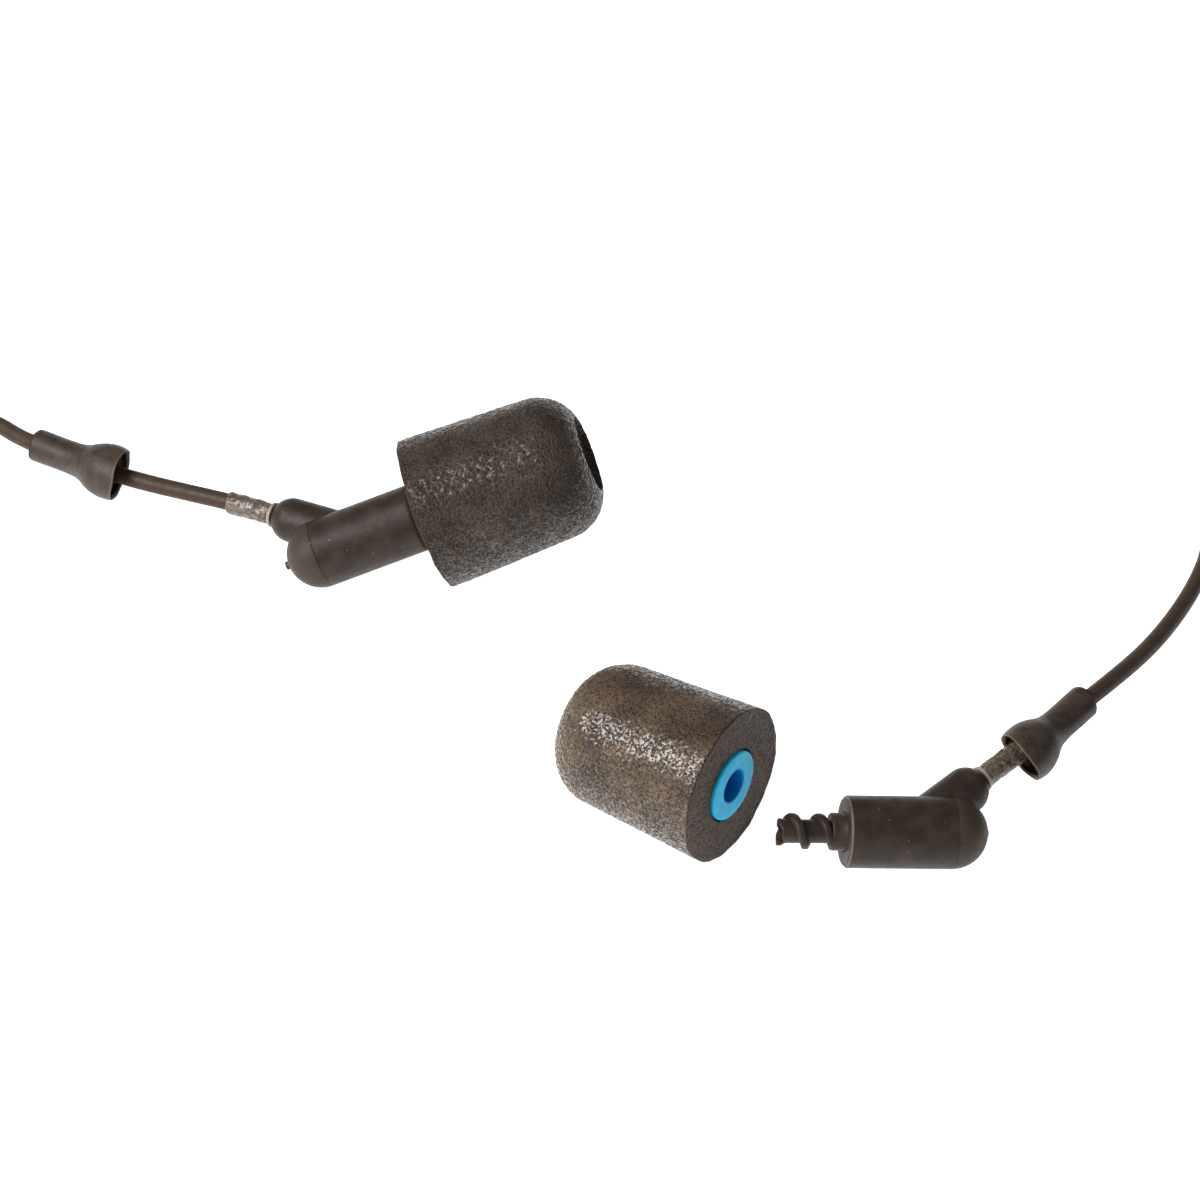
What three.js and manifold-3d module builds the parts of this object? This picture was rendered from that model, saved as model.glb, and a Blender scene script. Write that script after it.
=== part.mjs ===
// In-ear monitors: two small barrel housings with an angled cord arm each, foam ear tips on
// threaded nozzles, sliding strain boots, and a Y cord with splitter, chin slider and plug.
// Millimetres, +Z up. The origin is on the surface that the pieces lie on, under the middle
// of the two housings and their tips.
import * as THREE from 'three';
import { mergeVertices } from 'three/addons/utils/BufferGeometryUtils.js';
import Module from 'manifold-3d';

const wasm = await Module();
wasm.setup();

const smallGap = 0.15;   // air between pieces that nest in each other
const endGap = 0.3;      // air between pieces that meet end to end

const barrel = {
  radius: 2.975, wall: 0.575, front: 9.05, chamfer: 0.22, frontWall: 0.7, seam: 0.12, hole: 1.65,
};
const cap = { spigotRadius: 2.25, spigotWall: 0.4, spigotLength: 1.0, wall: 0.65, ventHole: 0.48 };
const pip = { clearance: 0.1, proud: { left: 0.28, right: 0.06 }, bevel: 0.1, tipShare: 0.7, root: 2.1 };
const arm = {
  angle: 38, start: 3.55, length: 6.6, radius: 1.95, bore: 0.98, blockFrom: 0.5, boreTo: 10,
  leadHole: 0.8, leadHoleFrom: 1, leadHoleTo: 5.6,
};
const nozzle = {
  flangeRadius: 2.2, flangeLength: 0.55, collarRadius: 1.46, collarLength: 1.2, stemRadius: 0.97,
  length: 5.5, bore: 0.62, threadPitch: 2.25, threadTurns: 2.1, threadRadius: 1.05, threadSection: 0.42,
  threadStart: 139, threadInset: 0.08, threadSteps: 12, collarBevel: 0.15,
};
const driver = {
  width: 2.6, depth: 1.9, length: 4.2, back: 2.5, spoutRadius: 0.5, spoutLength: 0.7, overlap: 0.2,
};
const damper = { back: 9.0, length: 0.8, clearance: 0.1 };
const gasket = { radius: 2.25, length: 2.2, back: 5.3 };
const board = { width: 3.0, depth: 2.2, thickness: 0.4, back: 1.4 };
const lead = { radius: 0.16, spread: 0.4, from: [0.9, 1.28], bend: [1.25, 1.05], along: [3.1, 4.2, 5.1] };
const tip = {
  baseRadius: 6.75, frontRadius: 6.14, cornerRadius: 3.9, length: 15.2, boreRadius: 3.2,
  mouthRadius: 3.4, edge: 0.25, back: 9.85,
};
const core = { radius: 3.05, bore: 1.6, length: 10.5, back: 9.65 };
const armCord = { radius: 0.75, inside: 5.4, straight: 4.4 };
const seal = { bore: 0.84, radius: 1.12, length: 0.28, sunk: 0.14 };
const sleeve = { bore: 0.82, radius: 0.94, length: 4.2, gap: 0.06 };
const boot = {
  length: 9.4, mouthRadius: 2.38, bellRadius: 2.4, bellLength: 3.9, tubeRadius: 1.46,
  mouthBore: 2.1, bore: 1.25, cupDepth: 1.3, cupLength: 3.3,
  crown: 1.0, waist: 1.9, waistIn: 0.12, neck: 2.8, neckIn: 0.5, flare: 0.12, flareLength: 0.9,
};
const mainCord = { radius: 0.9 };
const splitter = { width: 6.2, height: 4.4, length: 12, holePitch: 2.6, socket: 3, corner: 1.6 };
const slider = { width: 6.6, height: 4.4, length: 5.5, hole: 0.98, corner: 1.5 };
const plug = {
  reliefLength: 6.5, reliefStart: 1.5, reliefEnd: 2.2, gripRadius: 3.0, gripLength: 11.5,
  contactRadius: 1.75, rodRadius: 0.5, collarRadius: 2.4, collarLength: 0.8,
  gripBevel: 0.5, gripShoulder: 0.8, contactGap: 0.1, rodGap: 0.08, bandGap: 0.05,
  sleeveLength: 7.2, insulatorLength: 0.6, ringLength: 2.1, rodFrom: 0.2,
};
const plugTip = {
  start: 10.7, land: 0.5, groove: 12.0, grooveRadius: 1.15, crest: 12.7, crestIn: 0.15,
  taper: 13.7, taperRadius: 1.1, end: 14,
};

// Where each piece lies: the centre of the rear dome, the heading and the tilt of the barrel's
// axis, and the roll that swings the cord arm about it.
const leftHousing = { at: [-25.88, 14.14, 2.98], heading: 8.5, tilt: 19.9, roll: 72 };
const rightHousing = { at: [27.05, -19.44, 3.0], heading: 186.5, tilt: 7.5, roll: -77 };
const looseTip = { at: [9.02, -17.69, 6.76], heading: 146.05, tilt: -3.16 };

// Each strain boot: the centre of its mouth and of its tube's end.
const leftBoot = { mouth: [-43.83, 24.6, 2.52], end: [-51.48, 29.71, 1.5] };
const rightBoot = { mouth: [32.92, -12.05, 4.1], end: [38.77, -4.69, 3.53] };

// The cords' routes: free points past the straight start in the arm and its sleeve.
const leftRoute = [
  [-37.84, 22.25, 2.7], [-40.88, 23.55, 2.45], [-43.88, 25.0, 2.2], [-46.85, 26.67, 1.95],
  [-49.78, 28.5, 1.72], [-51.48, 29.71, 1.48], [-53.55, 31.45, 1.08], [-55.5, 33.25, 0.85],
  [-57.35, 34.35, 0.75],
  [-59.35, 34.31, 0.75], [-60.95, 32.91, 0.75], [-61.55, 30.71, 0.75], [-61.55, 25.41, 0.75],
  [-61.15, 1.41, 0.75], [-60.15, -33.59, 0.75], [-59.55, -48.59, 0.75], [-58.55, -54.19, 0.75],
  [-56.05, -57.59, 0.75], [-52.25, -58.99, 0.75], [-43.75, -59.19, 0.75], [-1.75, -59.09, 0.75],
  [42.25, -59.09, 0.75], [52.25, -58.99, 0.75], [57.65, -58.29, 0.75], [61.45, -55.99, 1.3],
  [63.1, -53.59, 1.95], [63.45, -50.99, 2.2], [63.45, -48.09, 2.2], [63.45, -38.59, 2.2],
];
const rightRoute = [
  [35.66, -8.55, 4.12], [37.39, -6.42, 3.68], [38.77, -4.69, 3.4], [41.7, -0.8, 2.5],
  [44.55, 3.25, 1.6], [47.05, 7.35, 1.0], [49.2, 11.41, 0.8], [50.75, 15.01, 1.0],
  [51.65, 18.41, 1.4],
];
const laneRoute = [
  [70.95, 19.81, 4.4], [71.85, 16.41, 3.4], [73.15, 12.01, 1.7], [73.95, 6.91, 0.8],
  [74.25, 1.41, 0.75], [74.25, -22.59, 0.75], [74.25, -46.59, 0.75],
  [73.65, -51.79, 0.8], [71.65, -54.59, 1.0],
  [68.9, -55.19, 1.4], [66.75, -53.39, 1.95], [66.05, -50.99, 2.2], [66.05, -48.09, 2.2],
  [66.05, -38.59, 2.2],
];
const mainRoute = [
  [64.75, -23.29, 2.2], [65.15, -21.39, 2.2], [66.55, -19.49, 2.1], [68.65, -18.09, 1.9],
];
const plugRoute = [
  [49.25, -13.19, 1.9], [49.45, -16.19, 2.1], [50.65, -19.79, 2.6], [52.15, -22.79, 2.95],
  [52.75, -25.49, 3.0],
];

// The coils: middle of the turns, and how the bundle of turns is stacked.
const armCoil = { at: [61.25, 23.41], radius: 8, wide: 1, high: 3, pitch: 1.55, floor: 0.8 };
const mainCoil = { at: [61.1, -7.59], radius: 9, wide: 3, high: 5, pitch: 1.85, floor: 0.8 };
const tie = { width: 3.2, thickness: 0.4, gap: 0.3 };

const splitterAt = [64.75, -35.59];
const sliderAt = [64.75, -44.09];
const plugAt = { x: 52.75, y: -25.79, z: 3.0 };

const plastic = new THREE.MeshStandardMaterial({ color: 0x3d3530, roughness: 0.5 });
const rubber = new THREE.MeshStandardMaterial({ color: 0x4a4340, roughness: 0.75 });
const foam = new THREE.MeshStandardMaterial({ color: 0x5b4f45, roughness: 0.95 });
const blueSleeve = new THREE.MeshStandardMaterial({ color: 0x34b1da, roughness: 0.45 });
const cordJacket = new THREE.MeshStandardMaterial({ color: 0x50453a, roughness: 0.55 });
const glue = new THREE.MeshStandardMaterial({ color: 0x776a5f, roughness: 0.5 });
const steel = new THREE.MeshStandardMaterial({ color: 0xb8b8b8, roughness: 0.3, metalness: 1 });
const gold = new THREE.MeshStandardMaterial({ color: 0xd8b25a, roughness: 0.25, metalness: 1 });
const laminate = new THREE.MeshStandardMaterial({ color: 0x1f5b3a, roughness: 0.6 });
const copper = new THREE.MeshStandardMaterial({ color: 0xa35a33, roughness: 0.5 });

const set = new THREE.Group();
const radians = THREE.MathUtils.degToRad;

// ---- shape helpers ----

// One closed, outward-facing shell: shared corners merged, flat slivers dropped.
function closed(geometry) {
  geometry.deleteAttribute('normal');
  geometry.deleteAttribute('uv');
  const merged = mergeVertices(geometry, 1e-4);
  const corners = merged.getAttribute('position');
  const index = merged.getIndex();
  const a = new THREE.Vector3(), b = new THREE.Vector3(), c = new THREE.Vector3();
  let kept = [];
  let volume = 0;
  for (let i = 0; i < index.count; i += 3) {
    const [p, q, r] = [index.getX(i), index.getX(i + 1), index.getX(i + 2)];
    if (p === q || q === r || r === p) continue;
    kept.push(p, q, r);
    a.fromBufferAttribute(corners, p);
    b.fromBufferAttribute(corners, q);
    c.fromBufferAttribute(corners, r);
    volume += a.dot(b.cross(c));
  }
  if (volume < 0) kept = kept.reverse();
  merged.setIndex(kept);
  return merged;
}

function toSolid(geometry) {
  const shell = closed(geometry);
  return new wasm.Manifold(new wasm.Mesh({
    numProp: 3,
    vertProperties: new Float32Array(shell.getAttribute('position').array),
    triVerts: new Uint32Array(shell.getIndex().array),
  }));
}

function toGeometry(solid) {
  const mesh = solid.getMesh();
  const geometry = new THREE.BufferGeometry();
  geometry.setAttribute('position', new THREE.BufferAttribute(new Float32Array(mesh.vertProperties), 3));
  geometry.setIndex(new THREE.BufferAttribute(new Uint32Array(mesh.triVerts), 1));
  return geometry;
}

// A turned piece about +Z from [radius, height] pairs; a ring repeats its first pair at the end.
function turned(profile, segments = 28) {
  const points = profile.map(([r, z]) => new THREE.Vector2(r, z));
  return new THREE.LatheGeometry(points, segments).rotateX(Math.PI / 2);
}

function ring(inner, outer, from, to, segments = 24) {
  return turned([[inner, from], [outer, from], [outer, to], [inner, to], [inner, from]], segments);
}

// [radius, height] pairs along an arc of a profile, angles in degrees from the radial direction.
function arc(centreRadius, centreHeight, radius, from, to, steps) {
  return Array.from({ length: steps + 1 }, (_, i) => {
    const angle = radians(from + (to - from) * i / steps);
    const r = centreRadius + radius * Math.cos(angle);
    return [Math.abs(r) < 1e-9 ? 0 : r, centreHeight + radius * Math.sin(angle)];
  });
}

// A route whose steps fall on its own points, so bends can have closer points than straights.
class Route extends THREE.CatmullRomCurve3 {
  getPointAt(t) { return this.getPoint(t); }
  getTangentAt(t) { return this.getTangent(t); }
  getSpacedPoints(steps) { return this.getPoints(steps); }
}

function tube(points, radius, stepsEach = 1, halfSides = 4) {
  const section = new THREE.Shape();
  section.absarc(0, 0, radius, 0, Math.PI * 2);
  const route = new Route(points, false, 'centripetal');
  const steps = (points.length - 1) * stepsEach;
  return new THREE.ExtrudeGeometry(section, {
    steps, curveSegments: halfSides, bevelEnabled: false, extrudePath: route,
  });
}

const vector = (p) => new THREE.Vector3(...p);
const vectors = (list) => list.map(vector);

// ---- frames ----

function axisOf({ heading, tilt }) {
  const [h, t] = [radians(heading), radians(tilt)];
  return new THREE.Vector3(Math.cos(h) * Math.cos(t), Math.sin(h) * Math.cos(t), Math.sin(t));
}

// Local +Z runs along the barrel towards the ear, local +X to the side where the arm leaves.
function housingMatrix(place) {
  const axis = axisOf(place);
  const level = new THREE.Vector3(0, 0, 1).cross(axis).normalize();
  const upright = axis.clone().cross(level);
  const roll = radians(place.roll ?? 0);
  const side = upright.multiplyScalar(Math.cos(roll)).addScaledVector(level, Math.sin(roll));
  const across = axis.clone().cross(side);
  return new THREE.Matrix4().makeBasis(side, across, axis).setPosition(...place.at);
}

// A frame whose +Z runs from one point towards another.
function spanMatrix(from, to) {
  const turn = new THREE.Quaternion().setFromUnitVectors(
    new THREE.Vector3(0, 0, 1), to.clone().sub(from).normalize());
  return new THREE.Matrix4().makeRotationFromQuaternion(turn).setPosition(from);
}

function groupAt(matrix) {
  const group = new THREE.Group();
  group.applyMatrix4(matrix);
  set.add(group);
  return group;
}

function add(group, name, geometry, material) {
  const mesh = new THREE.Mesh(closed(geometry), material);
  mesh.name = name;
  group.add(mesh);
}

const armTurn = radians(180 - arm.angle);
const alongArm = (distance, across = 0) => new THREE.Vector3(
  Math.sin(armTurn) * distance, across, arm.start + Math.cos(armTurn) * distance);

// Turns a piece made about +Z so that it lies along the cord arm, from the barrel's axis out.
function onArm(geometry) {
  return geometry.rotateY(armTurn).translate(0, 0, arm.start);
}

// ---- the housing's pieces ----

function leadHole() {
  const { leadHole: radius, leadHoleFrom: from, leadHoleTo: to } = arm;
  return toSolid(onArm(turned([[0, from], [radius, from], [radius, to], [0, to]], 16)));
}

function barrelShell() {
  const { radius, wall, front, chamfer, frontWall, seam, hole } = barrel;
  const inner = radius - wall;
  const shell = toSolid(turned([
    [inner, seam], [radius, seam], [radius, front - chamfer], [radius - chamfer, front],
    [hole, front], [hole, front - frontWall], [inner, front - frontWall], [inner, seam],
  ], 36));
  return toGeometry(shell.subtract(leadHole()));
}

function rearCap() {
  const { radius } = barrel;
  const inside = cap.spigotRadius - cap.spigotWall;
  const hollow = radius - cap.wall;
  const rise = Math.acos(cap.ventHole / radius) * 180 / Math.PI;
  const innerRise = Math.acos(cap.ventHole / hollow) * 180 / Math.PI;
  const profile = [
    ...arc(0, 0, radius, -rise, 0, 7), [cap.spigotRadius, 0], [cap.spigotRadius, cap.spigotLength],
    [inside, cap.spigotLength], [inside, -Math.sqrt(hollow ** 2 - inside ** 2)],
    ...arc(0, 0, hollow, -50, -innerRise, 2),
  ];
  profile.push(profile[0]);
  return toGeometry(toSolid(turned(profile, 28)).subtract(leadHole()));
}

function ventPip(side) {
  const r = cap.ventHole - pip.clearance;
  const end = -barrel.radius - pip.proud[side];
  return turned([
    [0, end], [r * pip.tipShare, end], [r, end + pip.bevel], [r, -pip.root], [0, -pip.root],
  ], 14);
}

function cordArm() {
  const { radius, bore, length, blockFrom, boreTo } = arm;
  const skin = barrel.radius + smallGap;
  const outside = toSolid(onArm(turned([
    [0, blockFrom], [radius, blockFrom], [radius, length], ...arc(0, length, radius, 0, 90, 8).slice(1),
  ], 28)));
  const housing = toSolid(turned([
    ...arc(0, 0, skin, -90, 0, 8), [skin, barrel.front], [0, barrel.front],
  ], 36));
  const passage = toSolid(onArm(turned([[0, 0], [bore, 0], [bore, boreTo], [0, boreTo]], 16)));
  return toGeometry(outside.subtract(housing).subtract(passage));
}

function threadedNozzle() {
  const { flangeRadius, flangeLength, collarRadius, collarBevel, stemRadius, length, bore } = nozzle;
  const collarTop = barrel.front + nozzle.collarLength;
  const flangeTop = barrel.front - barrel.frontWall - smallGap;
  const top = barrel.front + length;
  const stem = toSolid(turned([
    [bore, flangeTop - flangeLength], [flangeRadius, flangeTop - flangeLength],
    [flangeRadius, flangeTop], [collarRadius, flangeTop],
    [collarRadius, collarTop - collarBevel], [collarRadius - collarBevel, collarTop],
    [stemRadius, collarTop],
    [stemRadius, top], [bore, top], [bore, flangeTop - flangeLength],
  ], 20));
  const { threadPitch, threadTurns, threadRadius, threadSection, threadStart, threadInset } = nozzle;
  const perTurn = nozzle.threadSteps;
  const helix = [];
  for (let i = 0; i <= threadTurns * perTurn; i++) {
    const angle = radians(threadStart) - i / perTurn * Math.PI * 2;
    helix.push(new THREE.Vector3(
      threadRadius * Math.cos(angle), threadRadius * Math.sin(angle),
      top - threadInset - threadPitch * i / perTurn));
  }
  const thread = toSolid(tube(helix, threadSection, 1, 3));
  const beyondEnd = toSolid(turned([[0, top], [3, top], [3, top + 2], [0, top + 2]], 14));
  return toGeometry(stem.add(thread).subtract(beyondEnd));
}

function balancedDriver() {
  const { width, depth, length, back, spoutRadius, spoutLength, overlap } = driver;
  const can = toSolid(new THREE.BoxGeometry(width, depth, length).translate(0, 0, back + length / 2));
  const from = back + length - overlap;
  const spout = toSolid(turned([
    [0, from], [spoutRadius, from], [spoutRadius, from + spoutLength], [0, from + spoutLength],
  ], 14));
  return toGeometry(can.add(spout));
}

function driverGasket() {
  const { radius, length, back } = gasket;
  const [w, d] = [driver.width / 2 + smallGap, driver.depth / 2 + smallGap];
  const shape = new THREE.Shape();
  shape.absarc(0, 0, radius, 0, Math.PI * 2);
  const window = new THREE.Path();
  window.moveTo(-w, -d).lineTo(-w, d).lineTo(w, d).lineTo(w, -d).closePath();
  shape.holes.push(window);
  return new THREE.ExtrudeGeometry(shape, { depth: length, curveSegments: 12, bevelEnabled: false })
    .translate(0, 0, back);
}

function solderBoard() {
  const { width, depth, thickness, back } = board;
  return new THREE.BoxGeometry(width, depth, thickness).translate(0, 0, back + thickness / 2);
}

function leadWire(side) {
  const across = side * lead.spread;
  const inBarrel = [lead.from, lead.bend].map(([x, z]) => new THREE.Vector3(x, across, z));
  const inArm = lead.along.map((distance) => alongArm(distance, across));
  return tube([...inBarrel, ...inArm], lead.radius, 2, 3);
}

function acousticDamper() {
  const r = nozzle.bore - damper.clearance;
  const end = damper.back + damper.length;
  return turned([[0, damper.back], [r, damper.back], [r, end], [0, end]], 12);
}

function addHousing(side, place) {
  const group = groupAt(housingMatrix(place));
  add(group, `${side}_barrel`, barrelShell(), plastic);
  add(group, `${side}_rear_cap`, rearCap(), plastic);
  add(group, `${side}_vent_pip`, ventPip(side), rubber);
  add(group, `${side}_cord_arm`, cordArm(), plastic);
  add(group, `${side}_nozzle`, threadedNozzle(), plastic);
  add(group, `${side}_acoustic_damper`, acousticDamper(), foam);
  add(group, `${side}_driver`, balancedDriver(), steel);
  add(group, `${side}_driver_gasket`, driverGasket(), rubber);
  add(group, `${side}_solder_board`, solderBoard(), laminate);
  add(group, `${side}_lead_wire_red`, leadWire(1), copper);
  add(group, `${side}_lead_wire_blue`, leadWire(-1), copper);
  return group;
}

// ---- the ear tip ----

function foamTip() {
  const { baseRadius, frontRadius, cornerRadius, length, boreRadius, mouthRadius, edge, back } = tip;
  const shoulder = back + length - cornerRadius;
  const centre = frontRadius - cornerRadius;
  const lip = Math.acos((mouthRadius - centre) / cornerRadius) * 180 / Math.PI;
  return turned([
    [boreRadius, back], [baseRadius - edge, back], [baseRadius, back + edge],
    ...arc(centre, shoulder, cornerRadius, 0, lip, 6), [boreRadius, shoulder + 2.2],
    [boreRadius, back],
  ], 32);
}

function tipCore() {
  return ring(core.bore, core.radius, core.back, core.back + core.length, 28);
}

function addTip(side, matrix) {
  const group = groupAt(matrix);
  add(group, `${side}_foam_tip`, foamTip(), foam);
  add(group, `${side}_tip_core`, tipCore(), blueSleeve);
}

// ---- the cord's small pieces ----

const armEnd = arm.length + arm.radius;

function addCordFittings(side, group) {
  const from = armEnd - seal.sunk;
  const to = from + seal.length;
  add(group, `${side}_cord_seal`, onArm(ring(seal.bore, seal.radius, from, to, 18)), glue);
  const start = to + sleeve.gap;
  const end = start + sleeve.length;
  add(group, `${side}_cord_sleeve`, onArm(ring(sleeve.bore, sleeve.radius, start, end, 18)), glue);
}

function strainBoot() {
  const { length, mouthRadius, bellRadius, bellLength, tubeRadius, mouthBore, bore } = boot;
  return turned([
    [mouthBore, 0], [mouthRadius, 0], [bellRadius, boot.crown], [bellRadius - boot.waistIn, boot.waist],
    [bellRadius - boot.neckIn, boot.neck], [tubeRadius + boot.flare, bellLength],
    [tubeRadius, bellLength + boot.flareLength], [tubeRadius, length], [bore, length],
    [bore, boot.cupLength], [mouthBore, boot.cupDepth], [mouthBore, 0],
  ], 22);
}

function addBoot(side, { mouth, end }) {
  add(groupAt(spanMatrix(vector(mouth), vector(end))), `${side}_strain_boot`, strainBoot(), rubber);
}

// The cord starts inside the arm's bore and runs straight until its sleeve ends.
function cordStart(place) {
  const matrix = housingMatrix(place);
  return [armCord.inside, armEnd, armEnd + armCord.straight]
    .map((distance) => alongArm(distance).applyMatrix4(matrix));
}

// ---- coils, ties, splitter, slider and plug ----

function coilBox({ radius, wide, high, pitch, floor }, cordRadius) {
  const half = (wide - 1) * pitch / 2 + cordRadius;
  return [radius - half, radius + half, floor, floor + (high - 1) * pitch + 2 * cordRadius];
}

function addCoil(name, coil, cordRadius) {
  const [inner, outer, low, high] = coilBox(coil, cordRadius);
  const group = groupAt(new THREE.Matrix4().makeTranslation(coil.at[0], coil.at[1], 0));
  add(group, name, ring(inner, outer, low, high, 40), cordJacket);
}

// A strap loop round the bundle of turns, at an angle about the coil's middle.
function addTie(name, coil, cordRadius, angle) {
  const [inner, outer, low, high] = coilBox(coil, cordRadius);
  const { width, thickness, gap } = tie;
  const rectangle = (grow, Kind) => {
    const shape = new Kind();
    shape.moveTo(inner - grow, low - grow).lineTo(outer + grow, low - grow);
    shape.lineTo(outer + grow, high + grow).lineTo(inner - grow, high + grow).closePath();
    return shape;
  };
  const loop = rectangle(gap + thickness, THREE.Shape);
  loop.holes.push(rectangle(gap, THREE.Path));
  const geometry = new THREE.ExtrudeGeometry(loop, { depth: width, bevelEnabled: false })
    .translate(0, 0, -width / 2).rotateX(Math.PI / 2).rotateZ(radians(angle));
  add(groupAt(new THREE.Matrix4().makeTranslation(coil.at[0], coil.at[1], 0)), name, geometry, rubber);
}

// A block with rounded long edges, lying along +Y from the origin, centred at half its height.
function roundedBlock(width, height, length, corner) {
  const [w, h] = [width / 2, height / 2];
  const shape = new THREE.Shape();
  shape.absarc(w - corner, h - corner, corner, 0, Math.PI / 2);
  shape.absarc(corner - w, h - corner, corner, Math.PI / 2, Math.PI);
  shape.absarc(corner - w, corner - h, corner, Math.PI, Math.PI * 1.5);
  shape.absarc(w - corner, corner - h, corner, Math.PI * 1.5, Math.PI * 2);
  return new THREE.ExtrudeGeometry(shape, { depth: length, curveSegments: 4, bevelEnabled: false })
    .rotateX(-Math.PI / 2).translate(0, 0, h);
}

function cylinderAlongY(radius, x, z, from, to) {
  return toSolid(turned([[0, from], [radius, from], [radius, to], [0, to]], 14)
    .rotateX(-Math.PI / 2).translate(x, 0, z));
}

function addSplitter() {
  const { width, height, length, holePitch, socket, corner } = splitter;
  let body = toSolid(roundedBlock(width, height, length, corner));
  for (const x of [-holePitch / 2, holePitch / 2]) {
    body = body.subtract(cylinderAlongY(armCord.radius + smallGap, x, height / 2, -1, socket));
  }
  const mainHole = mainCord.radius + smallGap;
  body = body.subtract(cylinderAlongY(mainHole, 0, height / 2, length - socket, length + 1));
  const group = groupAt(new THREE.Matrix4().makeTranslation(splitterAt[0], splitterAt[1], 0));
  add(group, 'y_splitter', toGeometry(body), plastic);
}

function addSlider() {
  const { width, height, length, hole, corner } = slider;
  let body = toSolid(roundedBlock(width, height, length, corner));
  for (const x of [-splitter.holePitch / 2, splitter.holePitch / 2]) {
    body = body.subtract(cylinderAlongY(hole, x, height / 2, -1, length + 1));
  }
  const group = groupAt(new THREE.Matrix4().makeTranslation(sliderAt[0], sliderAt[1], 0));
  add(group, 'chin_slider', toGeometry(body), plastic);
}

function addPlug() {
  const matrix = new THREE.Matrix4().makeTranslation(plugAt.x, plugAt.y, plugAt.z)
    .multiply(new THREE.Matrix4().makeRotationX(Math.PI / 2));
  const group = groupAt(matrix);
  const { reliefLength, reliefStart, reliefEnd, gripRadius, gripLength, gripBevel, gripShoulder } = plug;
  const inside = mainCord.radius + smallGap;
  add(group, 'plug_relief', turned([
    [inside, 0], [reliefStart, 0], [reliefEnd, reliefLength], [inside, reliefLength], [inside, 0],
  ], 24), rubber);
  const grip = reliefLength + endGap;
  const gripEnd = grip + gripLength;
  add(group, 'plug_grip', turned([
    [0, grip], [gripRadius - gripBevel, grip], [gripRadius, grip + gripShoulder],
    [gripRadius, gripEnd - gripBevel], [gripRadius - gripBevel, gripEnd], [0, gripEnd],
  ], 28), rubber);

  const { contactRadius, rodRadius, rodGap, bandGap, collarRadius, collarLength } = plug;
  const { sleeveLength, insulatorLength, ringLength } = plug;
  const contact = gripEnd + plug.contactGap;
  const bandBore = rodRadius + rodGap;
  add(group, 'plug_sleeve_contact', turned([
    [bandBore, contact], [collarRadius, contact], [collarRadius, contact + collarLength],
    [contactRadius, contact + collarLength], [contactRadius, contact + sleeveLength],
    [bandBore, contact + sleeveLength], [bandBore, contact],
  ], 20), gold);
  let from = contact + sleeveLength + bandGap;
  for (const [name, length, material] of [
    ['rear_insulator', insulatorLength, rubber], ['ring_contact', ringLength, gold],
    ['front_insulator', insulatorLength, rubber],
  ]) {
    add(group, `plug_${name}`, ring(bandBore, contactRadius, from, from + length, 20), material);
    from += length + bandGap;
  }
  const { start, land, groove, grooveRadius, crest, crestIn, taper, taperRadius, end } = plugTip;
  add(group, 'plug_tip_contact', turned([
    [0, contact + plug.rodFrom], [rodRadius, contact + plug.rodFrom], [rodRadius, contact + start],
    [contactRadius, contact + start], [contactRadius, contact + start + land],
    [grooveRadius, contact + groove], [contactRadius - crestIn, contact + crest],
    [taperRadius, contact + taper], [0, contact + end],
  ], 20), gold);
}

// ---- the whole set ----

const leftGroup = addHousing('left', leftHousing);
const rightGroup = addHousing('right', rightHousing);
addTip('left', housingMatrix(leftHousing));
const looseMatrix = housingMatrix(looseTip)
  .multiply(new THREE.Matrix4().makeTranslation(0, 0, -tip.back));
addTip('right', looseMatrix);
addCordFittings('left', leftGroup);
addCordFittings('right', rightGroup);
addBoot('left', leftBoot);
addBoot('right', rightBoot);

const leftPoints = [...cordStart(leftHousing), ...vectors(leftRoute)];
const rightPoints = [...cordStart(rightHousing), ...vectors(rightRoute)];
add(set, 'left_arm_cord', tube(leftPoints, armCord.radius), cordJacket);
add(set, 'right_arm_cord', tube(rightPoints, armCord.radius), cordJacket);
add(set, 'right_arm_lane', tube(vectors(laneRoute), armCord.radius), cordJacket);
add(set, 'main_cord_start', tube(vectors(mainRoute), mainCord.radius), cordJacket);
add(set, 'main_cord_end', tube(vectors(plugRoute), mainCord.radius), cordJacket);
addCoil('right_arm_coil', armCoil, armCord.radius);
addCoil('main_cord_coil', mainCoil, mainCord.radius);
addTie('arm_coil_tie', armCoil, armCord.radius, 90);
addTie('main_coil_tie', mainCoil, mainCord.radius, 90);
addSplitter();
addSlider();
addPlug();

export default set;
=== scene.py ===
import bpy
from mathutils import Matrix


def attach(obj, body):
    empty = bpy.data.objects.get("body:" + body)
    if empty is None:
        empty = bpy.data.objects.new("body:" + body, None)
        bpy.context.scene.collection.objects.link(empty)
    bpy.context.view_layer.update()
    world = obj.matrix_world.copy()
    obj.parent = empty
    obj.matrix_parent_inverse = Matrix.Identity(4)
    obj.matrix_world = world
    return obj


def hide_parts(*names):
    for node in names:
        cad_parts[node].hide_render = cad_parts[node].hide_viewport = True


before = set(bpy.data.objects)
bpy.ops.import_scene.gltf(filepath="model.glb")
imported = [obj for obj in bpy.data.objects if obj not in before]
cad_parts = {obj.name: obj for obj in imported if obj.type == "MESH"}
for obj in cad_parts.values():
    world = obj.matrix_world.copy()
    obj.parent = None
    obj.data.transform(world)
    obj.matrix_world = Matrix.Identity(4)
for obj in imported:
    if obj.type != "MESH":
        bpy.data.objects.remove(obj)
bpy.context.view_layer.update()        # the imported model, as a fixed frame

import math

import bpy
import bmesh
from mathutils import Matrix, Vector, noise

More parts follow.
